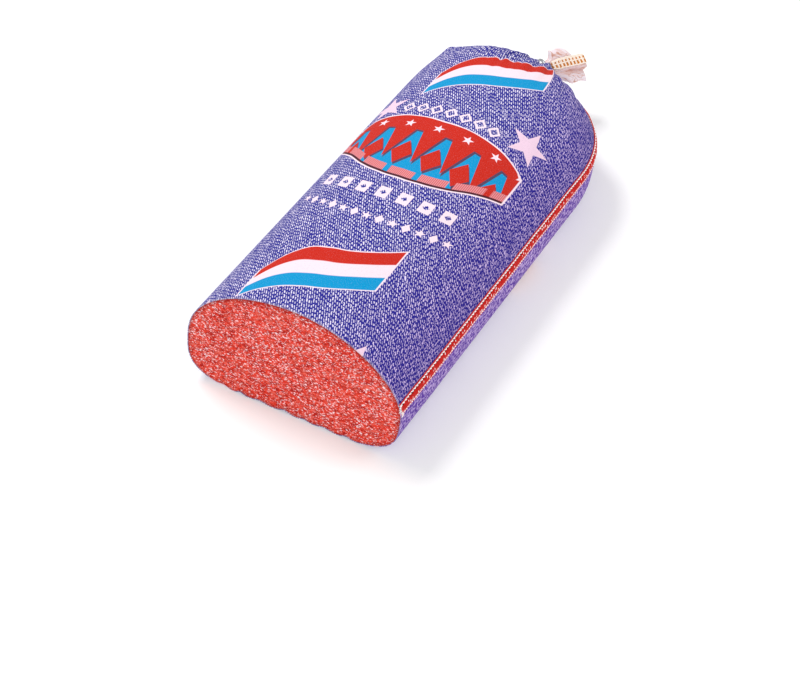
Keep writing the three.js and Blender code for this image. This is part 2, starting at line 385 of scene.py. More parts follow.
def sheet_mesh(name, grid, across, along):
    """A mesh from a grid that closes round its columns, with (across, along) as its UVs, in metres."""
    rows, columns = grid.shape[:2]
    row, column = np.meshgrid(np.arange(rows - 1), np.arange(columns), indexing="ij")
    mesh = bpy.data.meshes.new(name)
    mesh.from_pydata(to_row_frame(grid.reshape(-1, 3)).tolist(), [], ring_faces(rows, columns))
    wide = np.append(across, across[0] + GIRTH)
    long = np.column_stack([along, along[:, :1]])
    corner = np.stack(
        [
            np.stack([wide[column], long[row, column]], axis=-1),
            np.stack([wide[column + 1], long[row, column + 1]], axis=-1),
            np.stack([wide[column + 1], long[row + 1, column + 1]], axis=-1),
            np.stack([wide[column], long[row + 1, column]], axis=-1),
        ],
        axis=2,
    )
    layer = mesh.uv_layers.new(name="sheet")
    layer.data.foreach_set("uv", (corner.reshape(-1, 2) * MM).ravel())
    mesh.shade_smooth()
    mesh.update()
    return mesh


def add_piece(name, mesh, material, replaces=()):
    piece = bpy.data.objects.new(name, mesh)
    bpy.context.collection.objects.link(piece)
    mesh.materials.append(material)
    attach(piece, "root")
    if replaces:
        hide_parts(*replaces)
    return piece


# ---- Shader nodes written as sums ----


class Field:
    """A number that varies over a surface. Arithmetic on it adds Math nodes to its material."""

    def __init__(self, tree, socket):
        self.tree = tree
        self.socket = socket

    def math(self, operation, *others, clamp=False):
        node = self.tree.nodes.new("ShaderNodeMath")
        node.operation = operation
        node.use_clamp = clamp
        self.tree.links.new(self.socket, node.inputs[0])
        for place, other in enumerate(others, start=1):
            if isinstance(other, Field):
                self.tree.links.new(other.socket, node.inputs[place])
            else:
                node.inputs[place].default_value = other
        return Field(self.tree, node.outputs[0])

    def __add__(self, other):
        return self.math("ADD", other)

    def __sub__(self, other):
        return self.math("SUBTRACT", other)

    def __mul__(self, other):
        return self.math("MULTIPLY", other)

    def __truediv__(self, other):
        return self.math("DIVIDE", other)

    def __neg__(self):
        return self.math("MULTIPLY", -1.0)

    __radd__ = __add__
    __rmul__ = __mul__

    def __rsub__(self, other):
        return (-self).math("ADD", other)

    def floor(self):
        return self.math("FLOOR")

    def abs(self):
        return self.math("ABSOLUTE")

    def min(self, other):
        return self.math("MINIMUM", other)

    def max(self, other):
        return self.math("MAXIMUM", other)

    def wrap(self, high, low):
        return self.math("WRAP", high, low)

    def clamp(self):
        return self.math("ADD", 0.0, clamp=True)

    def curve(self, start, end, points, scale):
        """A smooth curve through (place, value) points: start <= place <= end, and value < scale."""
        node = self.tree.nodes.new("ShaderNodeFloatCurve")
        self.tree.links.new(((self - start) / (end - start)).socket, node.inputs["Value"])
        line = node.mapping.curves[0]
        for number, (place, value) in enumerate(points):
            spot = ((place - start) / (end - start), value / scale)
            if number < 2:
                line.points[number].location = spot
            else:
                line.points.new(*spot)
        node.mapping.update()
        return Field(self.tree, node.outputs[0]) * scale


SOCKET_NAMES = {
    "sheen_weight": "Sheen Weight",
    "sheen_roughness": "Sheen Roughness",
    "specular_ior_level": "Specular IOR Level",
    "metallic": "Metallic",
    "emission_color": "Emission Color",
    "emission_strength": "Emission Strength",
}


class Shading:
    """One material being built: its Principled shader and the helpers that feed it."""

    def __init__(self, name):
        self.material = bpy.data.materials.new(name)
        self.material.use_nodes = True
        self.tree = self.material.node_tree
        self.shader = self.tree.nodes["Principled BSDF"]

    def node(self, kind, **settings):
        made = self.tree.nodes.new(kind)
        for key, value in settings.items():
            setattr(made, key, value)
        return made

    def field(self, socket):
        return Field(self.tree, socket)

    def link(self, source, target):
        self.tree.links.new(source, target)

    def sheet_place(self):
        """(across, along) on the flat sheet, in millimetres."""
        split = self.node("ShaderNodeSeparateXYZ")
        self.link(self.node("ShaderNodeUVMap", uv_map="sheet").outputs[0], split.inputs[0])
        return self.field(split.outputs[0]) * 1000, self.field(split.outputs[1]) * 1000

    def object_place(self):
        """The place on the object in metres, as a vector socket."""
        return self.node("ShaderNodeTexCoord").outputs["Object"]

    def vector(self, x, y, z=0.0):
        node = self.node("ShaderNodeCombineXYZ")
        for socket, value in zip(node.inputs, (x, y, z)):
            if isinstance(value, Field):
                self.link(value.socket, socket)
            else:
                socket.default_value = value
        return node.outputs[0]

    def noise(self, vector, scale, detail=2.0, roughness=0.5, distortion=0.0):
        node = self.node("ShaderNodeTexNoise")
        self.link(vector, node.inputs["Vector"])
        node.inputs["Scale"].default_value = scale
        node.inputs["Detail"].default_value = detail
        node.inputs["Roughness"].default_value = roughness
        node.inputs["Distortion"].default_value = distortion
        return self.field(node.outputs[0])

    def cells(self, vector, scale):
        """The distance to the nearest of many scattered points."""
        node = self.node("ShaderNodeTexVoronoi")
        self.link(vector, node.inputs["Vector"])
        node.inputs["Scale"].default_value = scale
        return self.field(node.outputs["Distance"])

    def chance(self, x, y):
        """A random number from 0 to 1 for each whole (x, y)."""
        node = self.node("ShaderNodeTexWhiteNoise", noise_dimensions="2D")
        self.link(self.vector(x, y), node.inputs["Vector"])
        return self.field(node.outputs["Value"])

    def mix(self, share, under, over):
        """Colour: over where share is 1, under where it is 0."""
        node = self.node("ShaderNodeMix", data_type="RGBA")
        self.link(share.socket, node.inputs["Factor"])
        inputs = [socket for socket in node.inputs if socket.type == "RGBA"]
        for socket, colour in zip(inputs, (under, over)):
            if isinstance(colour, bpy.types.NodeSocket):
                self.link(colour, socket)
            else:
                socket.default_value = linear(colour)
        return next(socket for socket in node.outputs if socket.type == "RGBA")

    def bump(self, height, distance, strength=1.0, after=None):
        node = self.node("ShaderNodeBump")
        node.inputs["Strength"].default_value = strength
        node.inputs["Distance"].default_value = distance
        self.link(height.socket, node.inputs["Height"])
        if after is not None:
            self.link(after, node.inputs["Normal"])
        return node.outputs[0]

    def finish(self, colour=None, roughness=None, normal=None, **numbers):
        sockets = self.shader.inputs
        if isinstance(colour, bpy.types.NodeSocket):
            self.link(colour, sockets["Base Color"])
        elif colour is not None:
            sockets["Base Color"].default_value = linear(colour)
        if isinstance(roughness, Field):
            self.link(roughness.socket, sockets["Roughness"])
        elif roughness is not None:
            sockets["Roughness"].default_value = roughness
        if normal is not None:
            self.link(normal, sockets["Normal"])
        for key, value in numbers.items():
            sockets[SOCKET_NAMES[key]].default_value = value
        return self.material


def linear(colour):
    """A screen colour from 0 to 255 as linear light, with alpha 1."""
    parts = [part / 255 for part in colour]
    return [part / 12.92 if part <= 0.04045 else ((part + 0.055) / 1.055) ** 2.4 for part in parts] + [1.0]


# ---- The print on the casing ----
INK_BLUE = (36, 38, 142)
INK_BLUE_SIDE = (40, 30, 138)
INK_BLUE_UNDER = (92, 52, 160)  # paler and more purple below the seam
UNPRINTED = (244, 236, 255)
# Towards the seam the pale dashes are lavender, the print's own tint, and darker, which is painted shade.
UNPRINTED_SIDE_SHADED = (216, 190, 238)
STRIPE_RED = (200, 40, 24)
STRIPE_WHITE = (247, 224, 235)
STRIPE_BLUE = (4, 150, 206)
STAR_PINK = (240, 208, 228)
SHADOW_INK = (84, 66, 92)
BLOCK_PINK = (226, 150, 156)
LINE_DARK = (78, 26, 36)


def mask(distance, softness=0.25):
    """1 where a distance field is negative, 0 where it is positive."""
    return (0.5 - distance / softness).clamp()


def inside_box(x, y, half_width, half_height):
    return (x.abs() - half_width).max(y.abs() - half_height)


def star(x, y, radius, turned=0.0):
    """Distance field of a five-pointed star."""
    angle = x.math("ARCTAN2", y) + turned
    folded = ((angle / (TURN / 5)).math("FRACT") - 0.5).abs() * (TURN / 5)
    folded = TURN / 10 - folded
    length = (x * x + y * y).math("SQRT")
    forward, sideways = length * folded.math("COSINE"), length * folded.math("SINE")
    inner = 0.40 * radius
    step_x, step_y = inner * math.cos(TURN / 10) - radius, inner * math.sin(TURN / 10)
    size = math.hypot(step_x, step_y)
    return (forward - radius) * (step_y / size) + sideways * (-step_x / size)


def printed_cloth():
    s = Shading("printed_cloth")
    across, along = s.sheet_place()
    slack = s.vector(across / 30, along / 30)
    wobble = (s.noise(slack, 1.0) - 0.5) * 1.2

    # The two panels, and the lengthwise repeat. Both are measured from the middle of a panel.
    a = (across - PANEL_MIDDLE).wrap(PANEL_WIDTH / 2, -PANEL_WIDTH / 2) + PANEL_MIDDLE + wobble * 0.3
    b = along.wrap(PRINT_REPEAT - 22.3, -22.3) + wobble * 0.3

    # Denim ground: staggered dashes that lean away from the length of the sausage.
    lean = math.radians(27)
    side = ((across - 14) / 60).clamp().max((across + 240.0) * -0.05).clamp()
    below_seam = across - (SEAM_U - GIRTH)
    knit = across - below_seam.min(38.0) * 0.5  # the seam pulls the knit wider on the side under it
    drift_right = (s.noise(s.vector(knit / 2.2, along / 2.2), 1.0) - 0.5) * (1.2 + 1.4 * side)
    drift_on = (s.noise(s.vector(knit / 3.1 + 7.0, along / 3.1), 1.0) - 0.5) * (2.2 + 2.0 * side)
    drawn_out = along - (along - 295.0).max(0.0) * 0.4  # the gathers pull the knit longer
    rightwards = knit * math.cos(lean) + drawn_out * math.sin(lean) + drift_right
    forwards = drawn_out * math.cos(lean) - knit * math.sin(lean) + drift_on
    column = rightwards / 1.42
    column_number = column.floor()
    column_place = column - column_number - 0.5
    row = forwards / 3.9 + column_number * 0.38 + s.chance(column_number, 3.0) * 0.45
    row_number = row.floor()
    row_place = row - row_number - 0.5
    luck = s.chance(column_number, row_number)
    under = ((60.0 - below_seam) / 20.0).clamp()
    half_width = 0.13 + luck * 0.13 + under * 0.07
    half_height = 0.22 + s.chance(row_number, column_number) * 0.20
    dash = ((column_place.abs() - half_width) * 1.42).max((row_place.abs() - half_height) * 3.9)
    wear = s.noise(s.vector(across, along), 1.1, detail=3.0) - 0.5
    light = mask(dash + wear * 0.6, 0.28)
    light = (light * (0.72 + luck * 0.28)).clamp()
    ground = s.mix(under, s.mix(side, INK_BLUE, INK_BLUE_SIDE), INK_BLUE_UNDER)
    # On the seam side the pale dashes get a painted shade as well as their lavender tint.
    pale = s.mix(side, UNPRINTED, UNPRINTED_SIDE_SHADED)
    colour = s.mix(light, ground, pale)

    # Wavy banner of three stripes.
    top = a.curve(-44, 30, [(-44, 30), (30, 89.5), (-26, 58), (-12, 64), (1, 67.5), (14, 75)], 100)
    bottom = a.curve(-44, 30, [(-44, 4), (30, 49.4), (-27, 17), (-10, 24.8), (4.7, 30.9), (17, 39)], 100)
    level = (b - bottom) / (top - bottom)
    edge = (b - top).max(bottom - b).max((a + 7.0).abs() - 36.5)
    colour = s.mix(mask(edge - 1.0), colour, STRIPE_WHITE)
    in_banner = mask(edge)
    colour = s.mix(in_banner * mask(0.668 - level, 0.02), colour, STRIPE_RED)
    colour = s.mix(in_banner * mask(level - 0.33, 0.02), colour, STRIPE_BLUE)

    # Plaque with a flat top and a bowed bottom.
    plaque_a = a + 10.0
    bow = plaque_a.abs().curve(0, 70, [(0, 145), (70, 176), (12, 145.5), (30, 151), (50, 164)], 220)
    brow = plaque_a.abs().curve(0, 70, [(0, 210), (70, 199), (35, 210), (55, 206.5)], 220)
    plaque = (b - brow).max(bow - b).max(plaque_a.abs() - 66)
    colour = s.mix(mask(plaque - 1.4), colour, STRIPE_WHITE)
    in_plaque = mask(plaque)
    colour = s.mix(in_plaque, colour, STRIPE_BLUE)
    cell = 22.0
    cell_a = plaque_a.wrap(cell / 2, -cell / 2)

    def pennants(x, y):
        """A red band under the top edge with a row of pennants hanging from it."""
        hanging = x.abs() - (y - 168) * 0.24 - 1.5
        return hanging.min(196.0 - y)

    def lozenges(x, y):
        shifted = (x.abs() - 11).abs()
        return (shifted * 0.85 + (y - 170).abs() * 0.5 - 6.5)

    shadow = pennants(cell_a - 1.6, b + 1.8).min(lozenges(cell_a - 1.6, b + 1.8))
    colour = s.mix(in_plaque * mask(shadow), colour, SHADOW_INK)
    red = pennants(cell_a, b).min(lozenges(cell_a, b))
    colour = s.mix(in_plaque * mask(red), colour, STRIPE_RED)
    colour = s.mix(in_plaque * mask(star(cell_a, b - 202, 4.2)), colour, STRIPE_WHITE)
    # Pink blocks along the bottom edge, over a dark line.
    above = b - bow
    block = inside_box(cell_a, above - 5.6, 9.0, 3.6)
    colour = s.mix(in_plaque * mask(above - 2.0), colour, LINE_DARK)
    hatch = ((plaque_a * 0.8).math("FRACT") - 0.5).abs() * 2
    pink = s.mix(hatch.math("POWER", 2.0), BLOCK_PINK, STRIPE_RED)
    colour = s.mix(in_plaque * mask(block), colour, pink)

    # Two large stars beside the plaque's upper corners.
    colour = s.mix(mask(star(a - 46, b + 5, 16.5, -0.10)), colour, STAR_PINK)
    colour = s.mix(mask(star(a + 63, b + 11, 15.5, 0.3)), colour, STAR_PINK)

    # A row of hollow lozenges over the plaque.
    mark_a = a.wrap(5.5, -5.5)
    lozenge = (mark_a.abs() + (b + 13).abs() * 0.85 - 3.9).abs() - 1.0
    colour = s.mix(mask((a + 11).abs() - 38.5) * mask(lozenge), colour, STRIPE_WHITE)

    # Under the plaque: a bowed row of blocks with a diamond in each, and one of small stars and diamonds.
    bowl = (a + 10) * (a + 10) * 0.0042
    tile_a = (a + 10).wrap(7.6, -7.6)
    tile_b = b - 127.0 - bowl * 0.7
    tile = inside_box(tile_a, tile_b, 4.2, 5.4).max(2.4 - tile_a.abs() - tile_b.abs())
    colour = s.mix(mask((a + 10).abs() - 53.0) * mask(tile), colour, STRIPE_WHITE)
    small_a = (a + 8).wrap(9.0, -9.0)
    small_b = b - 102.0 - bowl
    diamond = (small_a.abs() - 9.0).abs() * 1.5 + small_b.abs() - 4.4
    little = star(small_a, small_b, 3.9).min(diamond * 0.6)
    colour = s.mix(mask((a + 8).abs() - 59.0) * mask(little), colour, STRIPE_WHITE)

    # Past the clip the sheet isn't printed.
    unprinted = s.field(s.node("ShaderNodeAttribute", attribute_name="unprinted").outputs["Fac"])
    # Warm darker patches scattered over the tail's cloth are painted shade, standing in for its lit and
    # shaded facets.
    painted_facet_shade = s.noise(s.vector(across / 9, along / 9), 1.0, detail=3.0)
    cream = s.mix(((painted_facet_shade - 0.50) * 4.0).clamp(), (255, 242, 248), (240, 190, 178))
    # Thin orange-brown lines along the noise's contours are painted shadows of creases.
    painted_crease_shadow = s.noise(s.vector(across / 14, along / 7), 1.0, detail=1.0)
    cream = s.mix((1.0 - (painted_crease_shadow - 0.5).abs() * 42).clamp() * 0.7, cream, (206, 120, 60))

    # The valleys between the tail's folds are darkened with painted shade.
    hollow = s.field(s.node("ShaderNodeAttribute", attribute_name="hollow").outputs["Fac"])
    cream = s.mix(hollow * 0.4, cream, (210, 140, 104))

    # Ink takes unevenly on the weave.
    speckle = s.noise(s.vector(across, along), 1.6, detail=2.0)
    fade = s.mix(((speckle - 0.54) * 4.0).clamp() * 0.15, colour, (240, 226, 244))
    blot = s.noise(s.vector(across + 40.0, along), 1.2, detail=2.0)
    fade = s.mix(((blot - 0.56) * 5.0).clamp() * 0.22, fade, (60, 20, 40))
    fade = s.mix(unprinted, fade, cream)

    # Plain weave, two threads to the millimetre.
    warp = (across * (TURN / 0.55)).math("SINE")
    weft = (along * (TURN / 0.55)).math("SINE")
    weave = warp * weft
    pucker = s.noise(s.vector(across / 4, along / 4), 1.0, detail=3.0)
    normal = s.bump(weave, 0.00006, 0.6)
    normal = s.bump(pucker, 0.0006, 0.35, after=normal)
    rough = 0.72 + speckle * 0.2
    return s.finish(
        fade,
        rough,
        normal,
        sheen_weight=0.03,
        sheen_roughness=0.5,
        specular_ior_level=0.05,
    )


# ---- Meat ----
MEAT_DARK = (176, 14, 4)
MEAT_MIDDLE = (232, 54, 34)
MEAT_PALE = (242, 112, 96)
FAT = (255, 238, 244)


def ground_meat():
    s = Shading("meat")
    place = s.object_place()

    def grain(turn, stretch):
        """The place on the cut face, turned in its plane and squeezed so that flecks come out long."""
        node = s.node("ShaderNodeMapping")
        s.link(place, node.inputs["Vector"])
        node.inputs["Rotation"].default_value = (0.0, math.radians(turn), 0.0)
        node.inputs["Scale"].default_value = (1.0, 0.6, stretch)
        return node.outputs[0]

    leaning, falling = grain(35, 2.0), grain(-40, 2.2)
    patches = s.noise(leaning, 260.0, detail=3.0, roughness=0.65, distortion=0.8)
    colour = s.mix(((patches - 0.42) * 7.0).clamp(), MEAT_DARK, MEAT_MIDDLE)
    pale = s.noise(falling, 300.0, detail=3.0, roughness=0.65, distortion=0.5)
    colour = s.mix(((pale - 0.46) * 6.0).clamp() * 0.75, colour, MEAT_PALE)
    # Ground fat, in flecks that lean one way or the other.
    broad = s.noise(place, 60.0, detail=2.0) * 0.16
    flecks = ((leaning, 270.0, 0.15, 1.0), (falling, 400.0, 0.18, 0.95), (leaning, 600.0, 0.16, 0.9))
    for lying, scale, threshold, strength in flecks:
        ragged = (s.noise(lying, scale * 1.9, detail=3.0, roughness=0.65) - 0.5) * 0.8
        spots = s.cells(lying, scale) + ragged
        fleck = ((threshold + broad - spots) * 9.0).clamp() * strength
        colour = s.mix(fleck, colour, FAT)
    # Fine dark gaps between the grains, darkened with painted shade.
    painted_gap_shade = s.noise(falling, 480.0, detail=2.0, roughness=0.6)
    colour = s.mix(((painted_gap_shade - 0.60) * 9.0).clamp() * 0.7, colour, MEAT_DARK)
    # The outermost meat is darker where it has dried under the casing.
    rim = s.field(s.node("ShaderNodeAttribute", attribute_name="depth").outputs["Fac"])
    dry = (1.0 - rim / 4.5).clamp()
    colour = s.mix(dry * dry * 0.7, colour, (150, 24, 22))
    grit = s.noise(falling, 520.0, detail=3.0, roughness=0.6)
    normal = s.bump(grit, 0.0004, 0.15)
    return s.finish(
        colour,
        0.44 + patches * 0.2,
        normal,
        specular_ior_level=0.08,
    )


def meat_piece(material):
    """The filling: a face across the cut, and a skin just inside the casing."""
    columns = 480
    places = SEAM_U - GIRTH + GIRTH * np.arange(columns) / columns
    xs, zs = section_at(places)
    middle = np.array([0.0, 42.0])
    inset = CLOTH_THICKNESS + 0.12
    outline = np.column_stack([xs, zs])
    tangent = np.roll(outline, -1, axis=0) - np.roll(outline, 1, axis=0)
    normal = np.column_stack([-tangent[:, 1], tangent[:, 0]])
    normal /= np.linalg.norm(normal, axis=1, keepdims=True)
    if np.sum(normal * (outline - middle)) < 0:
        normal = -normal

    def ring(depth, y):
        flat = outline - normal * depth
        share = 1 - smoothstep(3, 14, zs)
        lifted = flat.copy()
        lifted[:, 1] += groove_depth(xs, y) * share
        lifted[:, 1] = np.maximum(lifted[:, 1], depth * 0.98)
        return lifted

    rings = []
    depths = []
    # Rings of the cut face, from the rim to the middle.
    edge = ring(inset, cut_plane_y(xs, zs))
    steps = 60
    for i in range(steps):
        share = (i / steps) ** 1.15
        flat = edge + (middle - edge) * share
        rings.append(flat)
        depths.append(np.linalg.norm(edge - flat, axis=1))
    face_rings = []
    for flat, depth in zip(rings, depths):
        y = cut_plane_y(flat[:, 0], flat[:, 1])
        rounding = 0.35 * np.exp(-depth / 0.5)
        uneven = 0.16 * wander(flat[:, 0] / 2.1, 81, 6) * wander(flat[:, 1] / 1.7, 82, 6)
        face_rings.append(np.column_stack([flat[:, 0], y + rounding + uneven - 0.3, flat[:, 1]]))
    skin = []
    for y in np.linspace(0, STRAIGHT_LENGTH, 60)[1:]:
        flat = ring(inset, np.full(columns, y))
        skin.append(np.column_stack([flat[:, 0], np.full(columns, y), flat[:, 1]]))
    shoulder = ring(inset, np.full(columns, STRAIGHT_LENGTH))
    domes = np.stack([dome_column(x, z, 22) for x, z in shoulder], axis=1)
    for number in range(1, 21):
        row = domes[number]
        pull = number / 21
        row = row - np.array([0, 5.0 * pull, 0])
        centre = np.array([NECK[0], 0, NECK[2]])
        offset = (row - centre) * np.array([1, 0, 1])
        skin.append(row - offset * 0.10 * pull)
    rows = np.stack(list(reversed(face_rings)) + skin)
    depth_rows = np.concatenate([np.stack(list(reversed(depths))), np.full((len(skin), columns), 0.0)])
    mesh = closed_mesh("meat", rows)
    layer = mesh.attributes.new("depth", "FLOAT", "POINT")
    layer.data.foreach_set("value", depth_rows.ravel())
    return add_piece("meat_filling", mesh, material, ["meat"])


# ---- Threads ----


def tube_mesh(name, paths, radius, sides):
    """One mesh of round tubes, each along a path of points in the part's frame."""
    vertices, faces = [], []
    angle = TURN * np.arange(sides) / sides
    for path in paths:
        path = np.asarray(path, float)
        tangent = np.gradient(path, axis=0)
        tangent /= np.maximum(np.linalg.norm(tangent, axis=1, keepdims=True), 1e-9)
        guide = np.array([0.31, 0.17, 0.93])
        side = np.cross(tangent, guide)
        side /= np.maximum(np.linalg.norm(side, axis=1, keepdims=True), 1e-9)
        other = np.cross(tangent, side)
        start = len(vertices)
        rings = (
            path[:, None, :]
            + radius * np.cos(angle)[None, :, None] * side[:, None, :]
            + radius * np.sin(angle)[None, :, None] * other[:, None, :]
        )
        vertices.extend(rings.reshape(-1, 3))
        for face in closed_faces(len(path), sides):
            faces.append(tuple(start + corner for corner in face))
    mesh = bpy.data.meshes.new(name)
    mesh.from_pydata(to_row_frame(vertices).tolist(), [], faces)
    mesh.shade_smooth()
    return mesh


def thread_material(name, colour, shade, glow=0.0):
    """Twisted thread. `glow` is a painted glow that makes the thread brighter than the lamps light it."""
    s = Shading(name)
    place = s.object_place()
    twist = s.noise(place, 2600.0, detail=2.0)
    tone = s.mix(((twist - 0.35) * 2.2).clamp(), shade, colour)
    normal = s.bump(twist, 0.0002, 0.5)
    # Emission gives the thread a painted glow.
    through = {"emission_color": linear(colour), "emission_strength": glow}
    return s.finish(tone, 0.62, normal, sheen_weight=0.1, specular_ior_level=0.15, **through)


class SeamLine:
    """The line on the casing that the seam follows, from the cut to the gathers of the neck."""

    def __init__(self, grid):
        column = grid[:, 0]  # the sheet's first column lies on the seam
        reach = np.linalg.norm(column[-1] - column, axis=1)
        keep = reach > 13
        self.points = column[keep]
        steps = np.linalg.norm(np.diff(self.points, axis=0), axis=1)
        self.run = np.concatenate([[0], np.cumsum(steps)])
        self.length = self.run[-1]
        normal = grid_normals(grid)[:, 0][keep]
        kernel = np.ones(9) / 9
        padded = np.pad(normal, ((4, 4), (0, 0)), mode="edge")
        self.outwards = np.stack([np.convolve(padded[:, k], kernel, "valid") for k in range(3)], axis=1)

    def at(self, distance, sideways=0.0, height=0.0):
        """Points at distances along the seam, off to one side (positive is up) and above the cloth."""
        distance = np.atleast_1d(np.asarray(distance, float))
        point = np.stack([np.interp(distance, self.run, self.points[:, k]) for k in range(3)], axis=1)
        ahead = np.stack([np.interp(distance + 0.5, self.run, self.points[:, k]) for k in range(3)], axis=1)
        behind = np.stack([np.interp(distance - 0.5, self.run, self.points[:, k]) for k in range(3)], axis=1)
        out = np.stack([np.interp(distance, self.run, self.outwards[:, k]) for k in range(3)], axis=1)
        out /= np.linalg.norm(out, axis=1, keepdims=True)
        along = ahead - behind
        along /= np.maximum(np.linalg.norm(along, axis=1, keepdims=True), 1e-9)
        across = np.cross(out, along)
        sideways = np.broadcast_to(sideways, distance.shape)[:, None]
        height = np.broadcast_to(height, distance.shape)[:, None]
        return point + across * sideways + out * height


def seam_pieces(line, red, white, painted_shade):
    """Overlock stitches in red thread, a straight line of white needle stitches, and white edge loops."""
    start, end = 0.3, line.length
    half = SEAM_WIDTH / 2
    chance = np.random.RandomState(9)

    # The folded cloth edge under the stitches. Its dark red is painted shade, which shows between the
    # stitches and in the gaps of the needle line.
    count = int((end - start) / 2.0)
    distances = np.linspace(start, end, count)
    profile = [
        (-half - 0.6, 0.05),
        (-half + 0.5, 0.45),
        (0, 0.70),
        (half - 0.6, 0.50),
        (half - 0.1, 0.12),
        (half + 0.9, 0.06),
        (0, -0.25),
    ]
    rings = np.stack([line.at(distances, side, height) for side, height in profile], axis=1)
    ridge = closed_mesh("seam_ridge", rings)
    add_piece("seam_ridge", ridge, painted_shade)

    # Slanted red stitches lie side by side across the ridge, with a red cord outside each edge.
    pitch = 1.05
    stitches = []
    for number in range(int((end - start - 1) / pitch)):
        place = start + 0.6 + number * pitch
        slant = 0.8 + 0.35 * chance.uniform(-1, 1)
        reach = half - 0.1 + 0.25 * chance.uniform(-1, 1)
        share = np.linspace(-1, 0.72 + 0.28 * chance.uniform(0, 1), 7)
        arch = 0.35 + 0.60 * (1 - share**2) + 0.10 * chance.uniform(-1, 1)
        stitches.append(line.at(place + slant * share / 2, share * reach, arch))
    fine = np.arange(start, end - 0.5, 0.35)
    for edge, seed in ((half + 1.15, 33), (-half - 1.05, 34)):
        stitches.append(line.at(fine, edge + 0.12 * wander(fine / 3, seed), 0.16))
    band = tube_mesh("seam_stitches", stitches, 0.40, 6)
    add_piece("seam_stitches", band, red, ["seam_overlock"])

    # White needle thread: stitches that dive into the cloth between one and the next.
    stitch = 2.8
    lift = -0.80 + 1.60 * np.abs(np.sin(math.pi * (fine - start) / stitch)) ** 1.1
    sway = half + 0.30 + 0.10 * wander(fine / 14, 31)
    needle = tube_mesh("seam_needle", [line.at(fine, sway, lift)], 0.42, 8)
    add_piece("seam_needle", needle, white, ["seam_needle_thread"])

    # White loops bind the lower edge, and some slip in between the red stitches.
    loops = []
    loop_pitch = 2.3
    for number in range(int((end - start - 2) / loop_pitch)):
        place = start + 1.0 + number * loop_pitch + 0.15 * chance.uniform(-1, 1)
        swing = np.linspace(-1, 1, 7)
        loops.append(line.at(place + 0.75 * swing, -half - 0.35, 0.05 + 0.65 * np.cos(swing * 1.3)))
        if chance.uniform(0, 1) < 0.55:
            inwards = chance.uniform(0.8, 3.0)
            share = np.linspace(0, 1, 6)
            rise = 0.72 + 0.3 * np.sin(3 * share)
            loops.append(line.at(place + 0.3 + 1.1 * share, -half + inwards + 1.3 * share, rise))
    edge = tube_mesh("seam_edge", loops, 0.36, 6)
    add_piece("seam_edge", edge, white, ["seam_edge_thread"])

    # Cut thread ends stick out a little at the knife cut.
    ends = []
    for number in range(9):
        side = half + 0.8 - number * 0.95
        length = 1.2 + 2.4 * chance.uniform(0, 1)
        share = np.linspace(0, 1, 6)
        drop = -1.1 * share**2 * chance.uniform(0.2, 1)
        root = line.at([start + 1.2], side, 0.8)[0]
        out = line.at([start + 1.2], side, 1.8)[0] - root
        forwards = np.outer(share, [0.0, -length - 0.6, 0.0])
        path = root + forwards + np.outer(share * chance.uniform(-0.3, 0.9), out)
        path[:, 2] += drop
        ends.append(path)
    frayed = tube_mesh("frayed_ends", ends, 0.22, 5)
    add_piece("frayed_ends", frayed, white)


# ---- Clip and the tail's seam ----


def tail_point(along, right, up):
    return NECK + TAIL_AXIS * along + TAIL_SIDE * right + UP * up


def clip_piece(material):
    """Soft wire bent a little over once round the neck, its two ends side by side."""
    share = np.linspace(0, 1, 90)
    angle = CLIP_TURNS * TURN * share
    radius = NECK_RADIUS + CLIP_CLEARANCE + CLIP_CAD_RADIUS
    along = CLIP_ALONG + CLIP_PITCH * CLIP_TURNS * (share - 0.5)
    path = [tail_point(a, radius * math.cos(t), radius * math.sin(t)) for a, t in zip(along, angle)]
    wire = tube_mesh("clip", [path], CLIP_SHOWN_RADIUS, 14)
    add_piece("clip", wire, material, ["closing_clip"])


def wire_material():
    s = Shading("clip_wire")
    place = s.object_place()
    scuff = s.noise(place, 900.0, detail=4.0, roughness=0.7)
    tone = s.mix(((scuff - 0.4) * 2.5).clamp(), (150, 152, 156), (206, 208, 210))
    normal = s.bump(scuff, 0.0001, 0.4)
    return s.finish(tone, 0.28 + scuff * 0.2, normal, metallic=1.0)


STRIP_START, STRIP_END = NECK_LENGTH + 0.6, NECK_LENGTH + TAIL_LENGTH - 0.6
STRIP_HALF = 3.7


def strip_at(along, sideways, height):
    """Points on the seam's loose end: `along` the tail, off to one side of its middle, and above it."""
    along = np.atleast_1d(np.asarray(along, float))
    share = (along - STRIP_START) / (STRIP_END - STRIP_START)
    right = 4.6 - 2.9 * share
    up = 6.2 + 2.7 * share + 0.5 * np.sin(4.5 * share)
    tilt = 0.64 + 0.18 * np.sin(3.2 * share + 0.4)
    outwards = TAIL_SIDE * np.sin(tilt)[:, None] + UP * np.cos(tilt)[:, None]
    across = TAIL_SIDE * np.cos(tilt)[:, None] - UP * np.sin(tilt)[:, None]
    centre = NECK + TAIL_AXIS * along[:, None] + TAIL_SIDE * right[:, None]
    centre = centre + UP * (up - tail_sag(along))[:, None]
    sideways = np.broadcast_to(sideways, along.shape)[:, None]
    height = np.broadcast_to(height, along.shape)[:, None]
    return centre + across * sideways + outwards * height


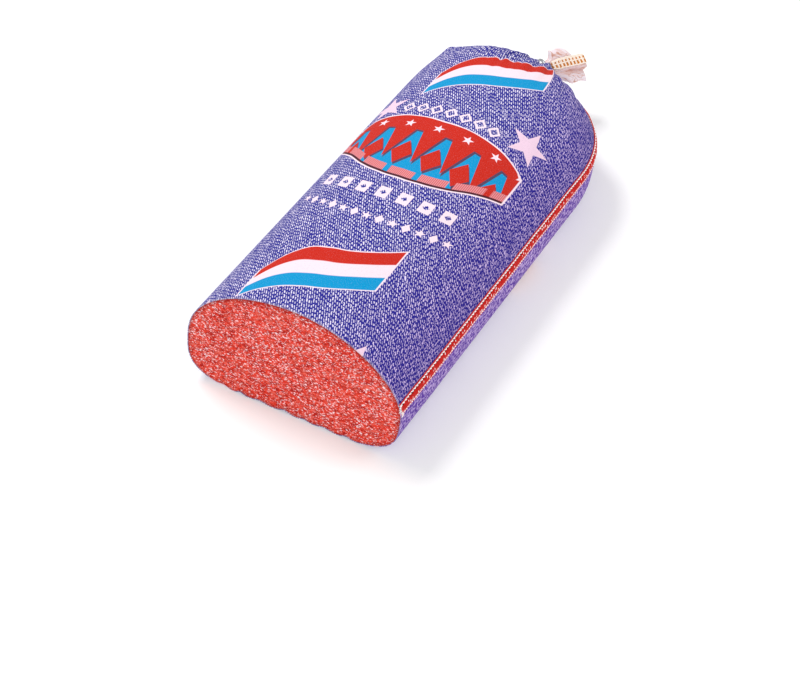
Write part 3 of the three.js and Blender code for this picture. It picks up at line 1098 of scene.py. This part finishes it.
def tail_seam_piece(shade, cream):
    """The loose end of the seam over the tail: a narrow strip, bound with thick pale stitches."""
    stations = np.linspace(STRIP_START, STRIP_END, 46)
    width = STRIP_HALF * (0.72 + 0.28 * smoothstep(0, 7, stations - STRIP_START))
    turns = TURN * np.arange(16) / 16
    sides = signed_power(np.cos(turns), 0.7)
    rises = 0.65 * signed_power(np.sin(turns), 0.9)
    rings = np.stack([strip_at(stations, width * side, rise) for side, rise in zip(sides, rises)], axis=1)
    # The strip's golden brown is painted shade, seen in the gaps between the pale stitches.
    add_piece("tail_strip", closed_mesh("tail_strip", rings), shade, ["tail_seam"])

    # Bundles of slanted stitches leave small gaps in two rows, with a cord along each edge and the middle.
    chance = np.random.RandomState(17)
    fine = np.arange(STRIP_START + 0.2, STRIP_END - 0.2, 0.4)
    narrow = 0.72 + 0.28 * smoothstep(0, 7, fine - STRIP_START)
    cords = []
    for place, seed in ((-0.94, 51), (-0.72, 54), (-0.02, 52), (0.94, 53)):
        sway = STRIP_HALF * narrow * place + 0.14 * wander(fine / 1.6, seed)
        cords.append(strip_at(fine, sway, 0.62 + 0.12 * np.cos(TURN * fine / 3.4)))
    swing = np.linspace(-1, 1, 9)
    bundle = 3.3
    for number in range(int((STRIP_END - STRIP_START - 1.5) / bundle) + 1):
        for strand in range(2):
            start = STRIP_START + 1.2 + number * bundle + 0.8 * strand + 0.15 * chance.uniform(-1, 1)
            slanted = np.clip(start + (0.7 - 0.5 * strand) * swing, STRIP_START, STRIP_END)
            arch = 0.60 + 0.28 * np.abs(np.sin(math.pi * swing)) + 0.06 * chance.uniform(-1, 1)
            cords.append(strip_at(slanted, STRIP_HALF * 0.9 * swing, arch))
    add_piece("tail_strip_stitches", tube_mesh("tail_strip_stitches", cords, 0.50, 7), cream)


# ---- Stage ----


FLOOR_GLOW = 0.17  # the floor is lit through from below, so that shadows on it stay pale


def floor_piece():
    mesh = bpy.data.meshes.new("floor")
    size = 6.0
    corners = [(-size, -size, 0), (size, -size, 0), (size, size, 0), (-size, size, 0)]
    mesh.from_pydata(corners, [], [(0, 1, 2, 3)])
    s = Shading("floor")
    grain = s.noise(s.object_place(), 30.0, detail=2.0)
    tone = s.mix(grain, (236, 236, 236), (239, 239, 239))
    glow = {"emission_color": (1.0, 1.0, 1.0, 1.0), "emission_strength": FLOOR_GLOW}
    mesh.materials.append(s.finish(tone, 0.9, specular_ior_level=0.1, **glow))
    floor = bpy.data.objects.new("floor", mesh)
    bpy.context.collection.objects.link(floor)


def area_light(name, direction, distance, size, power, target):
    light = bpy.data.lights.new(name, "AREA")
    light.shape = "DISK"
    light.size = size
    light.energy = power
    holder = bpy.data.objects.new(name, light)
    place = target + Vector(direction).normalized() * distance
    holder.location = place
    holder.rotation_euler = (target - place).to_track_quat("-Z", "Y").to_euler()
    bpy.context.collection.objects.link(holder)


CAMERA_AZIMUTH = math.radians(27.38)
CAMERA_ELEVATION = math.radians(45.63)
CAMERA_ROLL = math.radians(3.0)
CAMERA_DISTANCE = 1280.5
CAMERA_LENS = 88.0
CAMERA_TARGET = (30.4, 84.0, 0.0)


def add_camera():
    sin_a, cos_a = math.sin(CAMERA_AZIMUTH), math.cos(CAMERA_AZIMUTH)
    sin_e, cos_e = math.sin(CAMERA_ELEVATION), math.cos(CAMERA_ELEVATION)
    back = Vector((sin_a * cos_e, -cos_a * cos_e, sin_e))
    level_right = Vector((cos_a, sin_a, 0))
    level_up = back.cross(level_right)
    right = level_right * math.cos(CAMERA_ROLL) + level_up * math.sin(CAMERA_ROLL)
    up = back.cross(right)
    target = Vector(to_row_frame(CAMERA_TARGET))
    place = target + back * CAMERA_DISTANCE * MM
    data = bpy.data.cameras.new("camera")
    data.lens = CAMERA_LENS
    data.sensor_width = 36.0
    camera = bpy.data.objects.new("camera", data)
    turn = Matrix((right, up, back)).transposed()
    camera.matrix_world = Matrix.Translation(place) @ turn.to_4x4()
    bpy.context.collection.objects.link(camera)
    bpy.context.scene.camera = camera


def add_lights():
    world = bpy.data.worlds.new("studio")
    world.use_nodes = True
    world.node_tree.nodes["Background"].inputs["Color"].default_value = (1.0, 1.0, 1.0, 1.0)
    world.node_tree.nodes["Background"].inputs["Strength"].default_value = 0.47
    bpy.context.scene.world = world
    target = Vector((0, 0, 0.03))
    area_light("key", (-1.0, 0.15, 1.5), 1.6, 0.7, 16.0, target)
    area_light("front", (0.6, -1.0, 0.9), 1.8, 1.1, 9.5, target)
    area_light("back", (1.1, 0.7, 1.0), 1.6, 0.9, 5.0, target)
    bpy.context.scene.view_settings.view_transform = "Standard"


# ---- Everything together ----
def build():
    add_camera()
    grid, places, along = body_grid()
    grid = shape_body(grid)
    angle = neck_angle(grid[-1])
    radius_at_body = np.hypot(grid[-1][:, 0] - NECK[0], grid[-1][:, 2] - NECK[2])
    tail, tail_hollow = tail_grid(angle, radius_at_body)
    whole = np.concatenate([grid, tail])
    steps = np.linalg.norm(np.diff(whole[len(grid) - 1 :], axis=0), axis=2)
    along_tail = along[-1] + np.cumsum(np.maximum(steps, 0.5), axis=0)
    mesh = sheet_mesh("casing_sheet", whole, places, np.concatenate([along, along_tail]))
    unprinted = np.zeros(whole.shape[:2])
    unprinted[len(grid) + 8 :] = 1.0
    unprinted[0] = 0.25  # the sheet's pale inner side shows along its cut edge
    mesh.attributes.new("unprinted", "FLOAT", "POINT").data.foreach_set("value", unprinted.ravel())
    # How hollow each place of the tail is, which sets its painted shade.
    hollow = np.concatenate([np.zeros(grid.shape[:2]), tail_hollow])
    mesh.attributes.new("hollow", "FLOAT", "POINT").data.foreach_set("value", hollow.ravel())
    casing = add_piece("casing_sheet", mesh, printed_cloth(), ["casing"])
    thick = casing.modifiers.new("thickness", "SOLIDIFY")
    thick.thickness = CLOTH_THICKNESS * MM
    thick.offset = -1.0

    meat_piece(ground_meat())
    # The red and white threads have a painted glow, stronger on the white.
    red = thread_material("red_thread", (240, 34, 18), (180, 14, 8), 0.04)
    white = thread_material("white_thread", (255, 252, 252), (244, 230, 232), 0.16)
    cream = thread_material("cream_thread", (255, 250, 244), (255, 234, 214))
    # Golden brown painted shade for the tail's seam strip.
    shade = thread_material("strip_painted_shade", (232, 150, 44), (186, 108, 20))
    # Dark red painted shade for the cloth edge under the seam.
    under = thread_material("seam_painted_shade", (104, 12, 16), (60, 4, 10))
    seam_pieces(SeamLine(grid), red, white, under)
    clip_piece(wire_material())
    tail_seam_piece(shade, cream)
    floor_piece()
    add_lights()


build()
